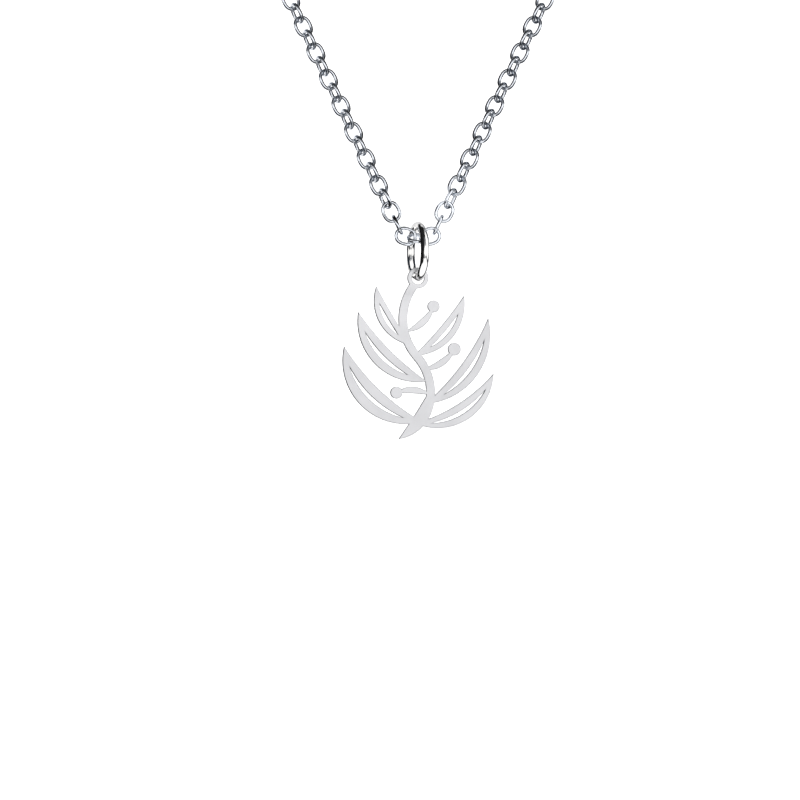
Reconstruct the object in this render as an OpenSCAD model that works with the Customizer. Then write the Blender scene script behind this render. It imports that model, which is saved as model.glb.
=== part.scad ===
// Pendant necklace: a fine cable chain, a jump ring on it, and a flat pierced pendant on the ring.
// +X is to the right and +Z is up as seen from the front, and the front faces -Y.
// The origin is on the chain's middle line at the back of the neck, where the necklace hangs.

/* [Necklace] */
// Length of the whole necklace along its middle line, fastening included
necklace_l = 450; // [440:1:460]
// Lean of each front length of chain from upright, in degrees
leg_lean = 25.4; // [25:0.1:26]
// Radius of the chain where it goes round the back of the neck
nape_r = 54; // [53:0.5:55]

/* [Chain links] */
// Thickness of the links' wire
wire_d = 0.52; // [0.48:0.01:0.52]
// Width of a link over its wire
link_w = 2.6; // [2.58:0.02:2.7]
// Distance from link to link along the chain
link_pitch = 1.96; // [1.94:0.01:1.98]
// Play between two links where they hook together
link_play = 0.11; // [0.11:0.01:0.13]
// Turn of the shown chain about its own line, in degrees
chain_twist = 24; // [0:1:30]

/* [Lowest links] */
// Distance from the middle link to the links beside it
side_link_x = 1.61; // [1.6:0.01:1.64]
// Lean of the links beside the middle one, in degrees
side_link_lean = 75; // [72:1:80]
// Turn of the middle link about its own length, which lowers its front side, in degrees
middle_link_roll = 28; // [15:1:30]
// Slope of the middle link, down to the right, in degrees
middle_link_tilt = 4; // [0:1:4]
// Distance that the middle link hangs below the links beside it
middle_link_drop = 0.27; // [0.25:0.01:0.29]
// Distance from the necklace's middle to where a front length's line starts
leg_foot_x = 2; // [1.96:0.01:2.03]
// Distance up that line to the first upright link
first_leg_link = 1.65; // [1.62:0.01:1.67]
// Links each side of the middle that lie square to the front
square_links = 3; // [3:1:5]

/* [Jump ring] */
// Width of the jump ring over its wire
ring_od = 8; // [7.8:0.1:8.4]
// Thickness of the jump ring's wire
ring_wire_d = 1.15; // [1.1:0.01:1.18]
// Turn of the jump ring about the upright line, from edge-on to the front, in degrees
ring_turn = 16; // [10:1:18]
// Play between the ring and the links that it rests between
ring_play = 0.13; // [0.13:0.01:0.16]

/* [Pendant plate] */
// Thickness of the plate
plate_t = 0.8; // [0.6:0.05:0.9]
// Turn of the plate about the upright line, in degrees
plate_turn = 8; // [4:1:12]
// Radius of the plate's eye over its rim
eye_r = 1.4; // [1.35:0.01:1.5]
// Radius of the hole in the eye
eye_hole_r = 0.85; // [0.84:0.01:0.88]
// Distance that the eye hangs below the middle of the ring's wire
eye_drop = 0.1; // [0.06:0.01:0.12]
// Width of the plate's stem
stem_w = 1.15; // [1:0.05:1.3]
// Widest part of the slot sawn along a leaf's middle
vein_w = 0.5; // [0.4:0.05:0.6]
// Widest part of a berry's stalk
stalk_w = 0.9; // [0.8:0.05:1]

/* [Fastening] */
// Width of the spring ring clasp over its wire
clasp_od = 6; // [5.8:0.1:6.2]
// Thickness of the clasp's ring
clasp_wire_d = 1.2; // [1.1:0.05:1.3]
// Width of the small loop soldered to the clasp
loop_od = 2.7; // [2.6:0.05:2.8]
// Thickness of that loop's wire
loop_wire_d = 0.6; // [0.55:0.05:0.65]
// Width of the end ring that the clasp takes
end_ring_od = 4; // [3.9:0.1:4.2]
// Thickness of the end ring's wire
end_ring_wire_d = 0.7; // [0.65:0.05:0.75]

/* [Hidden] */

deg = 180 / PI;
bright = [0.83, 0.84, 0.86];
grey = [0.62, 0.65, 0.69];

// One link: its middle line is two half rounds and the straight between them
link_l = link_pitch + 2 * wire_d + link_play;
bend_r = (link_w - wire_d) / 2;
straight_l = link_l - link_w;
link_reach = (link_l - wire_d) / 2;

// The chain's line: up the front, round the shoulder to the back, and round the nape
half_l = necklace_l / 2;
up_l = (nape_r - leg_foot_x) / sin(leg_lean);
shoulder_r = (half_l - leg_foot_x - nape_r * PI / 2 - up_l) / (PI / 2 - 1);
leg_l = up_l - shoulder_r;
shoulder_l = shoulder_r * PI / 2;
path_l = leg_l + shoulder_l + nape_r * PI / 2;
front_y = -(nape_r + shoulder_r);
low_z = -up_l * cos(leg_lean);

// Middle radii of the round pieces, and their distances along the chain's line
ring_r = (ring_od - ring_wire_d) / 2;
clasp_r = (clasp_od - clasp_wire_d) / 2;
loop_r = (loop_od - loop_wire_d) / 2;
end_ring_r = (end_ring_od - end_ring_wire_d) / 2;
solder_depth = 0.2;
link_to_loop = link_reach + loop_r - (wire_d + loop_wire_d) / 2 - link_play;
loop_to_clasp = loop_r + clasp_r + (clasp_wire_d + loop_wire_d) / 2 - solder_depth;
clasp_to_end_ring = clasp_r + end_ring_r - (clasp_wire_d + end_ring_wire_d) / 2 - link_play;
end_ring_to_link = end_ring_r + link_reach - (end_ring_wire_d + wire_d) / 2 - link_play;
fastening_l = link_to_loop + loop_to_clasp + clasp_to_end_ring + end_ring_to_link;

// Odd steps on the right and even ones on the left set the end links square to what they hook into
links_l = 2 * (path_l - first_leg_link) - fastening_l;
all_steps = 2 * round((links_l / link_pitch - 1) / 2) + 1;
step = links_l / all_steps;
right_l = path_l - first_leg_link - link_to_loop - loop_to_clasp;
right_steps = 2 * round((right_l / step - 1) / 2) + 1;
left_steps = all_steps - right_steps;

// Inner bend of a link beside the middle one, whose round outside the ring rests on
inner_bend_x = side_link_x - straight_l / 2 * sin(side_link_lean);
inner_bend_z = -straight_l / 2 * cos(side_link_lean);

// Heights on the necklace's middle line, above the middles of the links beside the middle one
ring_to_bend = (link_w + ring_wire_d) / 2 + ring_play;
ring_top_z = inner_bend_z + sqrt(pow(ring_to_bend, 2) - pow(inner_bend_x, 2));
ring_z = ring_top_z - ring_r;
eye_z = ring_z - ring_r - eye_drop;

// Plate outline, from the eye's middle: x to the right and y up
// Stem bends: middle x, middle y, radius, start angle, end angle
STEM = [
    [5.5, -5.5, 7.53, 137, 222],
    [-5.5, -15.3, 7.2, -30, 42]
];
// Leaves: foot, tip, bulge of the outer edge, bulge of the inner edge, share of the length that is sawn
LEAVES = [
    [[0.6, -19.2], [-9.9, -9.2], 4.1, 0.9, 0.6],
    [[1.2, -13.8], [-8.0, -4.6], 3.3, 0.6, 0.56],
    [[-0.9, -9.0], [-5.6, -1.2], 2.1, 0.1, 0.5],
    [[-0.4, -19.4], [10.2, -12.8], -3.3, -0.9, 0.6],
    [[1.0, -16.8], [9.5, -5.4], -3.3, -0.8, 0.58],
    [[-0.6, -10.4], [6.2, -2.4], -2.4, -0.3, 0.5],
    [[1.8, -14.6], [-2.6, -21.5], 1.9, 0.1, 0]
];
// Berries: foot of the stalk, middle of the berry, bulge of the stalk, radius of the berry
BERRIES = [
    [[0.7, -12.2], [4.9, -9.5], -0.6, 0.85],
    [[-1.7, -7.2], [2.1, -3.8], -0.6, 0.8],
    [[1.6, -15.6], [-2.9, -15.3], -0.5, 0.8]
];

function left_of(a, b) = [a[1] - b[1], b[0] - a[0]] / norm(b - a);
function arc_r(a, b, bulge) = (pow(norm(b - a) / 2, 2) + bulge * bulge) / (2 * abs(bulge));
function arc_mid(a, b, bulge) =
    (a + b) / 2 + left_of(a, b) * (bulge - sign(bulge) * arc_r(a, b, bulge));

module round_ring(od, wire) {
    rotate_extrude($fn = 96)
        translate([(od - wire) / 2, 0])
            circle(d = wire, $fn = 32);
}

// A link stands in the XZ plane with its length along Z
module link() {
    for (end = [0, 1])
        mirror([0, 0, end])
            translate([0, 0, straight_l / 2])
                rotate([90, 0, 0])
                    rotate_extrude(angle = 180, $fn = 48)
                        translate([bend_r, 0])
                            circle(d = wire_d, $fn = 24);
    for (side = [-1, 1])
        translate([side * bend_r, 0, -straight_l / 2])
            cylinder(d = wire_d, h = straight_l, $fn = 24);
}

// Places a child on the right half of the chain's line, with its Z along the line
module along_chain(s) {
    shoulder_turn = (s - leg_l) / shoulder_r * deg;
    nape_turn = (s - leg_l - shoulder_l) / nape_r * deg;
    if (nape_turn > 0)
        translate([0, -nape_r, 0])
            rotate([0, 0, nape_turn])
                translate([nape_r, 0, 0])
                    rotate([0, leg_lean, 0])
                        rotate([-90, 0, 0])
                            children();
    else
        translate([leg_foot_x, front_y, low_z])
            rotate([0, leg_lean, 0])
                if (shoulder_turn > 0)
                    translate([0, shoulder_r, leg_l])
                        rotate([-shoulder_turn, 0, 0])
                            translate([0, -shoulder_r, 0])
                                children();
                else
                    translate([0, 0, s])
                        children();
}

// Turn about the chain's line: square at the foot, then the shown twist, then level at the nape
function twist_at(s, i) =
    i + 2 <= square_links ? 0
    : -chain_twist - (leg_lean - chain_twist) * max(0, s - leg_l) / (path_l - leg_l);

module half_chain(steps) {
    translate([side_link_x, front_y, low_z])
        rotate([0, side_link_lean, 0])
            link();
    for (i = [0:steps]) {
        s = first_leg_link + i * step;
        along_chain(s)
            rotate([0, 0, twist_at(s, i) + 90 * ((i + 1) % 2)])
                link();
    }
}

module chain_right() {
    color(grey) half_chain(right_steps);
}

module chain_left() {
    color(grey) {
        mirror([1, 0, 0]) half_chain(left_steps);
        translate([0, front_y, low_z - middle_link_drop])
            rotate([0, middle_link_tilt, 0])
                rotate([90 + middle_link_roll, 0, 0])
                    rotate([0, 90, 0])
                        link();
    }
}

module jump_ring() {
    color(bright)
        translate([0, front_y, low_z + ring_z])
            rotate([0, 0, ring_turn])
                rotate([0, 90, 0])
                    round_ring(ring_od, ring_wire_d);
}

module arc_disc(a, b, bulge) {
    translate(arc_mid(a, b, bulge))
        circle(r = arc_r(a, b, bulge), $fn = 180);
}

// The space between two arcs that share their ends
module between_arcs(a, b, bulge_1, bulge_2) {
    fuller = abs(bulge_1) > abs(bulge_2) ? bulge_1 : bulge_2;
    flatter = abs(bulge_1) > abs(bulge_2) ? bulge_2 : bulge_1;
    if (fuller * flatter > 0)
        difference() {
            arc_disc(a, b, fuller);
            arc_disc(a, b, flatter);
        }
    else
        intersection() {
            arc_disc(a, b, fuller);
            arc_disc(a, b, flatter);
        }
}

// A stretch of the stem: part of a flat hoop
module stem_bend(x, y, r, from, to) {
    translate([x, y, 0])
        rotate([0, 0, from])
            rotate_extrude(angle = to - from, $fn = 120)
                translate([r - stem_w / 2, -plate_t / 2])
                    square([stem_w, plate_t]);
}

// The slot follows the leaf's own curve, and leaves solid metal at the foot and the tip
module leaf(foot, tip, outer, inner, sawn) {
    middle = (outer + inner) / 2;
    mid = arc_mid(foot, tip, middle);
    r = arc_r(foot, tip, middle);
    difference() {
        linear_extrude(plate_t, center = true)
            between_arcs(foot, tip, outer, inner);
        if (sawn > 0) {
            a = foot + (tip - foot) * (1 - sawn) / 2;
            b = tip - (tip - foot) * (1 - sawn) / 2;
            on_a = mid + (a - mid) * r / norm(a - mid);
            on_b = mid + (b - mid) * r / norm(b - mid);
            sag = sign(middle) * (r - sqrt(r * r - pow(norm(on_b - on_a) / 2, 2)));
            linear_extrude(2 * plate_t, center = true)
                between_arcs(on_a, on_b, sag + vein_w / 2, sag - vein_w / 2);
        }
    }
}

module berry(foot, mid, bulge, r) {
    linear_extrude(plate_t, center = true)
        between_arcs(foot, mid, bulge + stalk_w / 2, bulge - stalk_w / 2);
    translate([mid[0], mid[1], 0])
        cylinder(r = r, h = plate_t, center = true, $fn = 48);
}

module plate() {
    difference() {
        union() {
            cylinder(r = eye_r, h = plate_t, center = true, $fn = 64);
            for (b = STEM) stem_bend(b[0], b[1], b[2], b[3], b[4]);
            for (l = LEAVES) leaf(l[0], l[1], l[2], l[3], l[4]);
            for (b = BERRIES) berry(b[0], b[1], b[2], b[3]);
        }
        cylinder(r = eye_hole_r, h = 2 * plate_t, center = true, $fn = 48);
    }
}

module pendant() {
    color(bright)
        translate([0, front_y, low_z + eye_z])
            rotate([90, 0, plate_turn])
                plate();
}

module clasp() {
    clasp_s = first_leg_link + right_steps * step + link_to_loop + loop_to_clasp;
    color(bright)
        along_chain(clasp_s)
            rotate([0, 0, 90 - leg_lean]) {
                rotate([90, 0, 0]) round_ring(clasp_od, clasp_wire_d);
                translate([0, 0, -loop_to_clasp])
                    rotate([90, 0, 0])
                        round_ring(loop_od, loop_wire_d);
            }
}

module end_ring() {
    end_ring_s = first_leg_link + left_steps * step + end_ring_to_link;
    color(bright)
        mirror([1, 0, 0])
            along_chain(end_ring_s)
                rotate([0, 0, -leg_lean])
                    rotate([90, 0, 0])
                        round_ring(end_ring_od, end_ring_wire_d);
}

chain_left();
chain_right();
jump_ring();
pendant();
clasp();
end_ring();
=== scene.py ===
import math

import bmesh
import bpy
from mathutils import Matrix, Vector


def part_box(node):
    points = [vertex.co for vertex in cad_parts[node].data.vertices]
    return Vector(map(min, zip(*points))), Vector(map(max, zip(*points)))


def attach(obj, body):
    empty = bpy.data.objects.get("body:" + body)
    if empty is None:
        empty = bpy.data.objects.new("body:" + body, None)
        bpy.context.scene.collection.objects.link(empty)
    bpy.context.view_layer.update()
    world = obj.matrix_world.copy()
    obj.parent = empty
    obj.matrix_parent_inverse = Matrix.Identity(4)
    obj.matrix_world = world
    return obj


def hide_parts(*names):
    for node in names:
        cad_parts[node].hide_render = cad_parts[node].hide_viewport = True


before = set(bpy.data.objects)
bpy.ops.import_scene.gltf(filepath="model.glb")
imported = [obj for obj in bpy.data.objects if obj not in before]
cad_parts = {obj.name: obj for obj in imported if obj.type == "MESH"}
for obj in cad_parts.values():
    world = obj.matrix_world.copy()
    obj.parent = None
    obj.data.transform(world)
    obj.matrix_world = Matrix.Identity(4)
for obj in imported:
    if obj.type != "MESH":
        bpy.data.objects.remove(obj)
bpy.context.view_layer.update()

# The chain is a fine cable chain: oval links of round drawn wire, each hooked through the next
# at a right angle, butt-soldered on one side and rhodium plated. Its line goes up the front,
# round the shoulder and round the nape, and one level link at the middle joins the two halves.
MM = 0.001
necklace_l = 450
leg_lean = math.radians(25.4)
nape_r = 54
wire_d = 0.52
link_w = 2.6
link_pitch = 1.96
link_play = 0.11
chain_twist = math.radians(24)
side_link_x = 1.61
side_link_lean = math.radians(75)
middle_link_roll = math.radians(28)
middle_link_tilt = math.radians(4)
middle_link_drop = 0.27
leg_foot_x = 2
first_leg_link = 1.65
square_links = 3
right_steps = 111
left_steps = 110
fastening_l = 11.04

link_l = link_pitch + 2 * wire_d + link_play
straight_l = link_l - link_w
quarter = math.pi / 2
up_l = (nape_r - leg_foot_x) / math.sin(leg_lean)
shoulder_r = (necklace_l / 2 - leg_foot_x - nape_r * quarter - up_l) / (quarter - 1)
shoulder_l = shoulder_r * quarter
leg_l = up_l - shoulder_r
path_l = leg_l + shoulder_l + nape_r * quarter
front_y = -(nape_r + shoulder_r)
low_z = -up_l * math.cos(leg_lean)
link_step = (2 * (path_l - first_leg_link) - fastening_l) / (right_steps + left_steps)
flip_x = Matrix.Scale(-1, 4, (1, 0, 0))


def move(x, y, z):
    return Matrix.Translation((x, y, z))


def turn(angle, axis):
    return Matrix.Rotation(angle, 4, axis)


def along_chain(s):
    """The place at distance s up the right half of the chain, with Z along its line, in mm."""
    shoulder_turn = (s - leg_l) / shoulder_r
    nape_turn = (s - leg_l - shoulder_l) / nape_r
    if nape_turn > 0:
        round_nape = move(0, -nape_r, 0) @ turn(nape_turn, "Z") @ move(nape_r, 0, 0)
        return round_nape @ turn(leg_lean, "Y") @ turn(-quarter, "X")
    foot = move(leg_foot_x, front_y, low_z) @ turn(leg_lean, "Y")
    if shoulder_turn > 0:
        bend = move(0, shoulder_r, leg_l) @ turn(-shoulder_turn, "X")
        return foot @ bend @ move(0, -shoulder_r, 0)
    return foot @ move(0, 0, s)


def twist_at(s, i):
    """Turn of link i about the chain's line."""
    if i + 2 <= square_links:
        return 0
    share_back = max(0, s - leg_l) / (path_l - leg_l)
    return -chain_twist - (leg_lean - chain_twist) * share_back


def half_chain(steps):
    """Places of one half's links, from the one beside the middle link to the last at the nape."""
    places = [move(side_link_x, front_y, low_z) @ turn(side_link_lean, "Y")]
    for i in range(steps + 1):
        s = first_leg_link + i * link_step
        places.append(along_chain(s) @ turn(twist_at(s, i) + quarter * ((i + 1) % 2), "Z"))
    return places


def smoothed(sides):
    """Share of its radius that a ring of so many sides keeps when it is subdivided smooth."""
    return (2 + math.cos(2 * math.pi / sides)) / 3


def wire_ring(bm, ring_r, wire_r, sides, steps, gap=0.0):
    """Makes a ring of round wire about Y, in mm, in an empty mesh. A gap leaves two flat ends."""
    bmesh.ops.create_circle(bm, segments=sides, radius=wire_r)
    bmesh.ops.translate(bm, verts=bm.verts, vec=(ring_r, 0, 0))
    sweep = 2 * math.pi - gap / ring_r
    made = bmesh.ops.spin(
        bm, geom=bm.verts[:] + bm.edges[:], cent=(0, 0, 0), axis=(0, -1, 0), angle=sweep,
        steps=steps, use_merge=gap == 0)
    if gap:
        last = [g for g in made["geom_last"] if isinstance(g, bmesh.types.BMEdge)]
        first = [e for e in bm.edges if e.is_boundary and e not in last]
        for loop in (first, last):
            bmesh.ops.contextual_create(bm, geom=loop)
    bmesh.ops.remove_doubles(bm, verts=bm.verts, dist=wire_r * 0.01)
    bmesh.ops.recalc_face_normals(bm, faces=bm.faces)


# The wire starts as a coarse cage, a little too large, and subdividing brings it to its size.
link_sides, wire_sides = 12, 6
bend_r = (link_w - wire_d) / 2 / smoothed(link_sides)
cage_r = wire_d / 2 / smoothed(wire_sides)
link = bmesh.new()
wire_ring(link, bend_r, cage_r, wire_sides, link_sides)
bmesh.ops.rotate(link, verts=link.verts, matrix=turn(math.pi / link_sides, "Y").to_3x3())
for v in link.verts:
    v.co.z += math.copysign(straight_l / 2, v.co.z)

# The first direction of the map runs once along the wire, from the soldered side, and the
# second goes once round the wire.
wire_map = link.loops.layers.uv.new("wire")
for face in link.faces:
    around = []
    for loop in face.loops:
        x, y, z = loop.vert.co
        along = math.atan2(z, x) / (2 * math.pi)
        round_wire = math.atan2(y, math.hypot(x, z) - bend_r) / (2 * math.pi)
        around.append([along, round_wire])
    for k in (0, 1):
        if max(a[k] for a in around) - min(a[k] for a in around) > 0.5:
            for a in around:
                a[k] += a[k] < 0
    for loop, a in zip(face.loops, around):
        loop[wire_map].uv = a
link_mesh = bpy.data.meshes.new("link")
link.to_mesh(link_mesh)
link.free()


def new_piece(bm, name, material, body, nodes):
    """Makes a piece from a mesh in mm, and rides it on its body in place of its CAD nodes."""
    bmesh.ops.scale(bm, vec=(MM, MM, MM), verts=bm.verts)
    mesh = bpy.data.meshes.new(name)
    bm.to_mesh(mesh)
    bm.free()
    mesh.materials.append(material)
    mesh.shade_smooth()
    piece = bpy.data.objects.new(name, mesh)
    bpy.context.scene.collection.objects.link(piece)
    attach(piece, body)
    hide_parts(*nodes)
    return piece


def linear(hex_colour):
    """An sRGB hex colour as linear channels, with an alpha of 1."""
    channels = [int(hex_colour[i:i + 2], 16) / 255 for i in (1, 3, 5)]
    return [c / 12.92 if c <= 0.04045 else ((c + 0.055) / 1.055) ** 2.4 for c in channels] + [1]


def add_node(tree, kind, inputs=(), **settings):
    """Adds a node with its settings, and its inputs as values or as sockets to link."""
    made = tree.nodes.new(kind)
    for name, value in settings.items():
        setattr(made, name, value)
    for socket, value in dict(inputs).items():
        if isinstance(value, bpy.types.NodeSocket):
            tree.links.new(value, made.inputs[socket])
        else:
            made.inputs[socket].default_value = value
    return made


def new_material(name):
    material = bpy.data.materials.new(name)
    material.use_nodes = True
    tree = material.node_tree
    return material, tree, tree.nodes["Principled BSDF"]


# Rhodium plate over sterling silver, barrel polished: a hard cool white mirror with faint
# dimples from the barrel. The butt joint shows as a hairline across the wire.
rhodium_wire, tree, shader = new_material("rhodium_plated_wire")
shader.inputs["Metallic"].default_value = 1
shader.inputs["Base Color"].default_value = linear("#E2E6EC")
coords = add_node(tree, "ShaderNodeTexCoord")
dimple_mm = 0.35
dimple_depth_mm = 0.02
dimples = add_node(
    tree, "ShaderNodeTexNoise",
    {"Vector": coords.outputs["Object"], "Scale": 1 / (dimple_mm * MM), "Detail": 3})
rough = add_node(
    tree, "ShaderNodeMapRange",
    {"Value": dimples.outputs["Fac"], "From Min": 0.3, "From Max": 0.7,
     "To Min": 0.05, "To Max": 0.13})
tree.links.new(rough.outputs["Result"], shader.inputs["Roughness"])
joint_mm = 0.05
wire_l = math.pi * (link_w - wire_d) + 2 * straight_l
wire_uv = add_node(tree, "ShaderNodeUVMap", uv_map="wire")
wire_axes = add_node(tree, "ShaderNodeSeparateXYZ", {"Vector": wire_uv.outputs["UV"]})
from_joint = add_node(
    tree, "ShaderNodeMath", {0: wire_axes.outputs["X"]}, operation="ABSOLUTE")
joint = add_node(
    tree, "ShaderNodeMapRange",
    {"Value": from_joint.outputs["Value"], "From Min": 0, "From Max": joint_mm / wire_l,
     "To Min": 0, "To Max": 1})
height = add_node(
    tree, "ShaderNodeMath",
    {0: dimples.outputs["Fac"], 1: 0.25, 2: joint.outputs["Result"]}, operation="MULTIPLY_ADD")
bump = add_node(
    tree, "ShaderNodeBump",
    {"Height": height.outputs["Value"], "Distance": dimple_depth_mm * MM, "Strength": 0.5})
tree.links.new(bump.outputs["Normal"], shader.inputs["Normal"])

middle_link = (
    move(0, front_y, low_z - middle_link_drop) @ turn(middle_link_tilt, "Y")
    @ turn(quarter + middle_link_roll, "X") @ turn(quarter, "Y"))
halves = {
    "chain_right": half_chain(right_steps),
    "chain_left": [flip_x @ place for place in half_chain(left_steps)] + [middle_link],
}
for side, places in halves.items():
    bm = bmesh.new()
    for place in places:
        before = len(bm.verts)
        bm.from_mesh(link_mesh)
        bm.verts.ensure_lookup_table()
        bmesh.ops.transform(bm, matrix=place, verts=bm.verts[before:])
    bmesh.ops.recalc_face_normals(bm, faces=bm.faces)
    links = new_piece(bm, side + "_links", rhodium_wire, "root", [side])
    smooth = links.modifiers.new("drawn_round", "SUBSURF")
    smooth.levels = smooth.render_levels = 1

# The jump ring is a heavy ring of round silver wire, cut from a coil, closed so that its two
# sawn ends meet in a hairline, and polished. It hangs between the links beside the middle one.
ring_od = 8
ring_wire_d = 1.15
ring_turn = math.radians(16)
hairline = 0.03
ring_arris = 0.04
joint_turn = math.radians(-48)

ring_low, ring_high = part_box("jump_ring")
ring_middle = (ring_low + ring_high) / 2 / MM

# Sterling wire, drawn and then polished with rouge: a warm white mirror with soft scuffs.
silver_ring, tree, shader = new_material("polished_sterling_wire")
shader.inputs["Metallic"].default_value = 1
shader.inputs["Base Color"].default_value = linear("#F1F0EE")
coords = add_node(tree, "ShaderNodeTexCoord")
scuff_mm = 0.8
scuff_depth_mm = 0.01
scuffs = add_node(
    tree, "ShaderNodeTexNoise",
    {"Vector": coords.outputs["Object"], "Scale": 1 / (scuff_mm * MM), "Detail": 6,
     "Roughness": 0.65})
rough = add_node(
    tree, "ShaderNodeMapRange",
    {"Value": scuffs.outputs["Fac"], "From Min": 0.3, "From Max": 0.7,
     "To Min": 0.03, "To Max": 0.12})
tree.links.new(rough.outputs["Result"], shader.inputs["Roughness"])
bump = add_node(
    tree, "ShaderNodeBump",
    {"Height": scuffs.outputs["Fac"], "Distance": scuff_depth_mm * MM, "Strength": 0.4})
tree.links.new(bump.outputs["Normal"], shader.inputs["Normal"])

bm = bmesh.new()
wire_ring(
    bm, (ring_od - ring_wire_d) / 2, ring_wire_d / 2, sides=28, steps=110, gap=hairline)
ends = [e for e in bm.edges if any(len(f.verts) > 4 for f in e.link_faces)]
bmesh.ops.bevel(
    bm, geom=ends, offset=ring_arris, segments=2, profile=0.5, affect="EDGES", material=-1)
place = move(*ring_middle) @ turn(ring_turn + quarter, "Z") @ turn(joint_turn, "Y")
bmesh.ops.transform(bm, matrix=place, verts=bm.verts)
new_piece(bm, "jump_ring_wire", silver_ring, "ring", ["jump_ring"])

# The pendant is one plate of sterling sheet, sawn through and satin finished on both faces.
# Its walls keep the fine lines of the saw, and tumbling has rounded every arris. Its eye hangs
# on the jump ring, and the plate is turned a little to the right.
plate_arris = 0.07
plate_turn = math.radians(8)

# Satin sterling, rubbed down with fine abrasive: an even light grey sheen with a faint upright
# grain. The grain is drawn coarser than the real one, so that it shows.
satin_silver, tree, shader = new_material("satin_sterling_sheet")
shader.inputs["Metallic"].default_value = 1
shader.inputs["Base Color"].default_value = linear("#CDCDCF")
coords = add_node(tree, "ShaderNodeTexCoord")
grain_mm = 0.12
grain_depth_mm = 0.004
along_grain = add_node(
    tree, "ShaderNodeMapping", {"Vector": coords.outputs["Object"], "Scale": (1, 1, 0.08)})
grain = add_node(
    tree, "ShaderNodeTexNoise",
    {"Vector": along_grain.outputs["Vector"], "Scale": 1 / (grain_mm * MM), "Detail": 4})
cloud_mm = 3
clouds = add_node(
    tree, "ShaderNodeTexNoise",
    {"Vector": coords.outputs["Object"], "Scale": 1 / (cloud_mm * MM), "Detail": 3})
mottle = add_node(
    tree, "ShaderNodeMath",
    {0: grain.outputs["Fac"], 1: 0.4, 2: clouds.outputs["Fac"]}, operation="MULTIPLY_ADD")
rough = add_node(
    tree, "ShaderNodeMapRange",
    {"Value": mottle.outputs["Value"], "From Min": 0.5, "From Max": 0.9,
     "To Min": 0.33, "To Max": 0.38})
tree.links.new(rough.outputs["Result"], shader.inputs["Roughness"])
bump = add_node(
    tree, "ShaderNodeBump",
    {"Height": grain.outputs["Fac"], "Distance": grain_depth_mm * MM, "Strength": 0.3})
tree.links.new(bump.outputs["Normal"], shader.inputs["Normal"])

# Sterling as the saw leaves it: a duller grey with lines across the sheet's thickness, drawn
# coarser than the real ones. Its grey is painted far darker than the sheet's own, as painted
# shade that draws a dark line along the plate's edges.
sawn_wall, tree, shader = new_material("sawn_sterling_wall_painted_shade")
shader.inputs["Metallic"].default_value = 1
shader.inputs["Base Color"].default_value = linear("#707076")
coords = add_node(tree, "ShaderNodeTexCoord")
saw_line_mm = 0.08
saw_depth_mm = 0.012
across_sheet = add_node(
    tree, "ShaderNodeMapping", {"Vector": coords.outputs["Object"], "Scale": (1, 0.05, 1)})
saw_lines = add_node(
    tree, "ShaderNodeTexNoise",
    {"Vector": across_sheet.outputs["Vector"], "Scale": 1 / (saw_line_mm * MM), "Detail": 3})
rough = add_node(
    tree, "ShaderNodeMapRange",
    {"Value": saw_lines.outputs["Fac"], "From Min": 0.3, "From Max": 0.7,
     "To Min": 0.28, "To Max": 0.45})
tree.links.new(rough.outputs["Result"], shader.inputs["Roughness"])
bump = add_node(
    tree, "ShaderNodeBump",
    {"Height": saw_lines.outputs["Fac"], "Distance": saw_depth_mm * MM, "Strength": 0.5})
tree.links.new(bump.outputs["Normal"], shader.inputs["Normal"])

merge_mm = 0.001
flat_within = math.radians(1)
face_on, edge_on = 0.9, 0.1

bm = bmesh.new()
bm.from_mesh(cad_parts["pendant"].data)
bmesh.ops.scale(bm, vec=(1 / MM, 1 / MM, 1 / MM), verts=bm.verts)
bmesh.ops.remove_doubles(bm, verts=bm.verts, dist=merge_mm)
bmesh.ops.dissolve_limit(bm, angle_limit=flat_within, verts=bm.verts, edges=bm.edges)
plate_normal = Vector((math.sin(plate_turn), -math.cos(plate_turn), 0))
rim = [
    e for e in bm.edges
    if len(e.link_faces) == 2
    and {abs(f.normal.dot(plate_normal)) > face_on for f in e.link_faces} == {True, False}]
# The walls take the darkened wall colour, which paints shade along the plate's edges.
walls = [f for f in bm.faces if abs(f.normal.dot(plate_normal)) < edge_on]
for f in walls:
    f.material_index = 1
bmesh.ops.bevel(
    bm, geom=rim, offset=plate_arris, segments=3, profile=0.5, affect="EDGES", material=0,
    clamp_overlap=False)
plate = new_piece(bm, "leaf_plate", satin_silver, "charm", ["pendant"])
plate.data.materials.append(sawn_wall)
flat_faces = plate.modifiers.new("flat_faces", "WEIGHTED_NORMAL")
flat_faces.weight = 100

# The clasp is a plain spring ring of hollow silver tube, with a small loop of wire soldered to
# it: the solder leaves a little fillet. The last link of the right half hangs in the loop.
clasp_od = 6
clasp_wire_d = 1.2
loop_od = 2.7
loop_wire_d = 0.6
loop_to_clasp = 4.15
link_to_loop = 1.675
skin_mm = 0.05

clasp_s = first_leg_link + right_steps * link_step + link_to_loop + loop_to_clasp
bm = bmesh.new()
wire_ring(bm, (clasp_od - clasp_wire_d) / 2, clasp_wire_d / 2, sides=24, steps=72)
loop_mesh = bmesh.new()
wire_ring(loop_mesh, (loop_od - loop_wire_d) / 2, loop_wire_d / 2, sides=16, steps=48)
bmesh.ops.translate(loop_mesh, verts=loop_mesh.verts, vec=(0, 0, -loop_to_clasp))
loop_data = bpy.data.meshes.new("clasp_loop")
loop_mesh.to_mesh(loop_data)
loop_mesh.free()
bm.from_mesh(loop_data)

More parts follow.
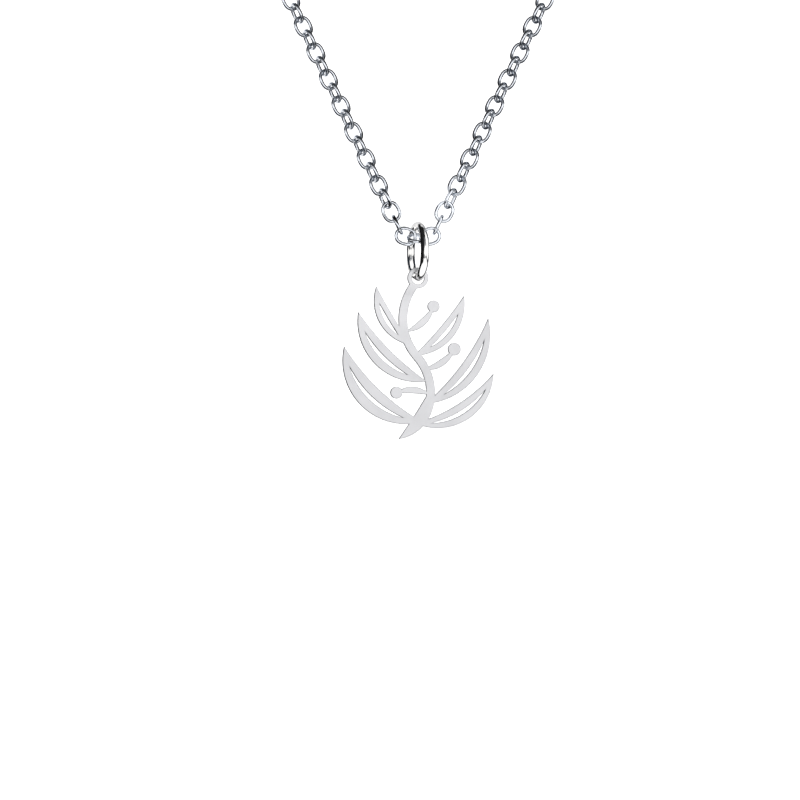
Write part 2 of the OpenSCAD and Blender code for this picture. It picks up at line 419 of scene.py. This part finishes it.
# The two rings are fused into one skin, and smoothing it leaves the fillet.
rough_clasp = bpy.data.meshes.new("rough_clasp")
bm.to_mesh(rough_clasp)
bm.free()
blank = bpy.data.objects.new("rough_clasp", rough_clasp)
bpy.context.scene.collection.objects.link(blank)
fused = blank.modifiers.new("soldered", "REMESH")
fused.mode = "VOXEL"
fused.voxel_size = skin_mm
soft = blank.modifiers.new("filed", "SMOOTH")
soft.factor = 0.5
soft.iterations = 4
bm = bmesh.new()
bm.from_object(blank, bpy.context.evaluated_depsgraph_get())
bpy.data.objects.remove(blank)
place = along_chain(clasp_s) @ turn(quarter - leg_lean, "Z")
bmesh.ops.transform(bm, matrix=place, verts=bm.verts)
new_piece(bm, "spring_ring_clasp", silver_ring, "root", ["clasp"])

# The end ring is a plain closed jump ring of silver wire, soldered shut. The clasp closes on it,
# and the last link of the left half hangs in it.
end_ring_od = 4
end_ring_wire_d = 0.7

end_low, end_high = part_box("end_ring")
bm = bmesh.new()
wire_ring(bm, (end_ring_od - end_ring_wire_d) / 2, end_ring_wire_d / 2, sides=20, steps=64)
place = move(*((end_low + end_high) / 2 / MM)) @ turn(quarter, "X")
bmesh.ops.transform(bm, matrix=place, verts=bm.verts)
new_piece(bm, "end_ring_wire", silver_ring, "root", ["end_ring"])

# The studio is a pale paper floor that runs up into a pale backdrop all round. It shows to the
# camera only: the metal mirrors the cards and the light panels that follow.
floor_z = -600
cove_r = 2500
floor = bmesh.new()
bmesh.ops.create_uvsphere(floor, u_segments=48, v_segments=24, radius=cove_r * MM)
for v in floor.verts:
    v.co.z = max(v.co.z, floor_z * MM)
floor_mesh = bpy.data.meshes.new("paper_cove")
floor.to_mesh(floor_mesh)
floor.free()
cove = bpy.data.objects.new("paper_cove", floor_mesh)
bpy.context.scene.collection.objects.link(cove)

# Matt white paper, evenly lit: it shows as a plain white with no shadow or horizon on it.
white_paper, tree, shader = new_material("white_paper")
shader.inputs["Base Color"].default_value = linear("#FFFFFF")
shader.inputs["Roughness"].default_value = 1
shader.inputs["Emission Color"].default_value = linear("#FFFFFF")
shader.inputs["Emission Strength"].default_value = 1
floor_mesh.materials.append(white_paper)
cove.visible_glossy = cove.visible_diffuse = cove.visible_shadow = False

# Small cards of felt and paper stand by the metal and show in its reflections alone. The long
# one in the middle plane darkens the inner sides of the chain, and the others draw the lines
# along the jump ring, the links beside it and the pendant's left edges.

# Wool felt, dyed black: it soaks up the light and mirrors as a deep dull black.
black_felt, tree, shader = new_material("black_felt")
shader.inputs["Base Color"].default_value = linear("#17181B")
shader.inputs["Roughness"].default_value = 1

# Matt grey paper under its own lamp: an even light grey with no shading of its own.
grey_paper, tree, shader = new_material("grey_paper")
shader.inputs["Base Color"].default_value = linear("#808080")
shader.inputs["Roughness"].default_value = 1
shader.inputs["Emission Color"].default_value = linear("#DCDCDE")
shader.inputs["Emission Strength"].default_value = 1


def stand_card(name, material, corners):
    """A flat card with the given corners, in mm, from the middle of the jump ring."""
    bm = bmesh.new()
    bm.faces.new([bm.verts.new((ring_middle + Vector(corner)) * MM) for corner in corners])
    mesh = bpy.data.meshes.new(name)
    bm.to_mesh(mesh)
    bm.free()
    mesh.materials.append(material)
    card = bpy.data.objects.new(name, mesh)
    bpy.context.scene.collection.objects.link(card)
    card.visible_camera = card.visible_diffuse = card.visible_shadow = False


def upright_card(name, material, x, back, front, front_high, low, high):
    """A card that faces sideways. Its front edge slants from front, at the foot, to front_high."""
    stand_card(
        name, material, [(x, back, low), (x, front, low), (x, front_high, high), (x, back, high)])


def level_card(name, material, z, left, right, front, back):
    """A card that lies level."""
    stand_card(
        name, material, [(left, front, z), (right, front, z), (right, back, z), (left, back, z)])


upright_card(
    "chain_card", black_felt, x=0, back=30, front=-2.5, front_high=-48, low=9, high=112)
upright_card(
    "ring_card", black_felt, x=0.3, back=-1.5, front=-4.2, front_high=-7, low=-2, high=3.6)
upright_card(
    "pendant_card", black_felt, x=-14, back=25, front=-2, front_high=-2, low=-30, high=0)
level_card("ring_brow_card", black_felt, z=5.2, left=-5, right=1.6, front=-6, back=-1.7)
level_card("ring_top_paper", grey_paper, z=9, left=-1, right=3.4, front=-6, back=1.8)
level_card("ring_inner_paper", white_paper, z=1, left=-3.4, right=1.2, front=0.5, back=2.2)
level_card("link_top_card", black_felt, z=4.6, left=-4.5, right=-0.6, front=-2.2, back=-0.6)
level_card("link_foot_card", black_felt, z=-0.6, left=-5, right=-1.7, front=-2.4, back=-0.6)
level_card("ring_foot_paper", white_paper, z=-5.5, left=-6, right=8, front=-12, back=-1.2)
rear_y = 14
rear_left, rear_right = -11, 4
rear_low, rear_high = 2.5, 22
stand_card(
    "ring_rear_paper", grey_paper,
    [(rear_left, rear_y, rear_low), (rear_right, rear_y, rear_low),
     (rear_right, rear_y, rear_high), (rear_left, rear_y, rear_high)])
upright_card(
    "ring_right_paper", white_paper, x=7, back=-1.8, front=-12, front_high=-12, low=-3.2, high=14)

# All round the metal are white panels: a bright one in front, one behind, strips along the
# horizon at both sides, and a dimmer floor and ceiling. A dark bluish gap between them draws a
# line along each side of the wire.
world = bpy.data.worlds.new("studio")
bpy.context.scene.world = world
world.use_nodes = True
tree = world.node_tree
coords = add_node(tree, "ShaderNodeTexCoord")
panel_turn = math.radians(10)
panel_way = (math.sin(panel_turn), -math.cos(panel_turn), 0)
ahead = add_node(
    tree, "ShaderNodeVectorMath", {0: coords.outputs["Generated"], 1: panel_way},
    operation="DOT_PRODUCT")
to_front = add_node(
    tree, "ShaderNodeMapRange",
    {"Value": ahead.outputs["Value"], "From Min": -1, "From Max": 1, "To Min": 0, "To Max": 1})

# Each stop is a share of the way from straight behind to straight in front, and the light there.
gap = (0.02, 0.026, 0.036, 1)
panel_stops = (
    (0.0, (1.7, 1.7, 1.7, 1)),
    (0.012, (1.7, 1.7, 1.7, 1)),
    (0.04, (1.1, 1.1, 1.11, 1)),
    (0.14, (0.95, 0.95, 0.96, 1)),
    (0.21, gap),
    (0.75, gap),
    (0.87, (0.17, 0.175, 0.19, 1)),
    (0.96, (0.42, 0.42, 0.43, 1)),
    (0.985, (1.9, 1.9, 1.9, 1)),
    (1.0, (1.9, 1.9, 1.9, 1)),
)
panels = add_node(tree, "ShaderNodeValToRGB", {"Fac": to_front.outputs["Result"]})
ramp = panels.color_ramp
for share, light in panel_stops:
    stop = ramp.elements.new(share)
    stop.color = light
ramp.elements.remove(ramp.elements[0])

# The strips, floor and ceiling start and end at these sines of the angle from level. The strips
# also fade out behind, between two shares of the way from straight behind to straight in front.
strip_full, strip_end = 0.16, 0.28
strip_light = 1.1
ceiling_start, ceiling_full = 0.78, 0.9
ceiling_light = 0.1
side_start, side_full = 0.46, 0.58

axes = add_node(tree, "ShaderNodeSeparateXYZ", {"Vector": coords.outputs["Generated"]})
up_or_down = add_node(tree, "ShaderNodeMath", {0: axes.outputs["Z"]}, operation="ABSOLUTE")
strips = add_node(
    tree, "ShaderNodeMapRange",
    {"Value": up_or_down.outputs["Value"], "From Min": strip_full, "From Max": strip_end,
     "To Min": strip_light, "To Max": 0})
not_behind = add_node(
    tree, "ShaderNodeMapRange",
    {"Value": to_front.outputs["Result"], "From Min": side_start, "From Max": side_full,
     "To Min": 0, "To Max": 1})
side_strips = add_node(
    tree, "ShaderNodeMath",
    {0: strips.outputs["Result"], 1: not_behind.outputs["Result"]}, operation="MULTIPLY")
floor_and_ceiling = add_node(
    tree, "ShaderNodeMapRange",
    {"Value": up_or_down.outputs["Value"], "From Min": ceiling_start, "From Max": ceiling_full,
     "To Min": 0, "To Max": ceiling_light})
flat_panels = add_node(
    tree, "ShaderNodeMath",
    {0: side_strips.outputs["Value"], 1: floor_and_ceiling.outputs["Result"]}, operation="MAXIMUM")
brightest = add_node(
    tree, "ShaderNodeVectorMath",
    {0: panels.outputs["Color"], 1: flat_panels.outputs["Value"]}, operation="MAXIMUM")
background = tree.nodes["Background"]
tree.links.new(brightest.outputs["Vector"], background.inputs["Color"])

# The camera looks level at the front through a long lens. The picture's scale and the middle
# link's place in it set where it stands.
picture_px = 800
px_per_mm = 7.5
middle_link_px = (417.8, 236.3)
lens_mm, sensor_mm = 135, 36

distance = lens_mm / sensor_mm * picture_px / px_per_mm
lens = bpy.data.cameras.new("long_lens")
lens.lens, lens.sensor_width = lens_mm, sensor_mm
lens.clip_start, lens.clip_end = 0.01, 10
camera = bpy.data.objects.new("camera", lens)
bpy.context.scene.collection.objects.link(camera)
aim_x = (picture_px / 2 - middle_link_px[0]) / px_per_mm
aim_z = low_z - (picture_px / 2 - middle_link_px[1]) / px_per_mm
camera.matrix_world = move(aim_x * MM, (front_y - distance) * MM, aim_z * MM) @ turn(quarter, "X")
bpy.context.scene.camera = camera
bpy.context.scene.view_settings.view_transform = "Standard"
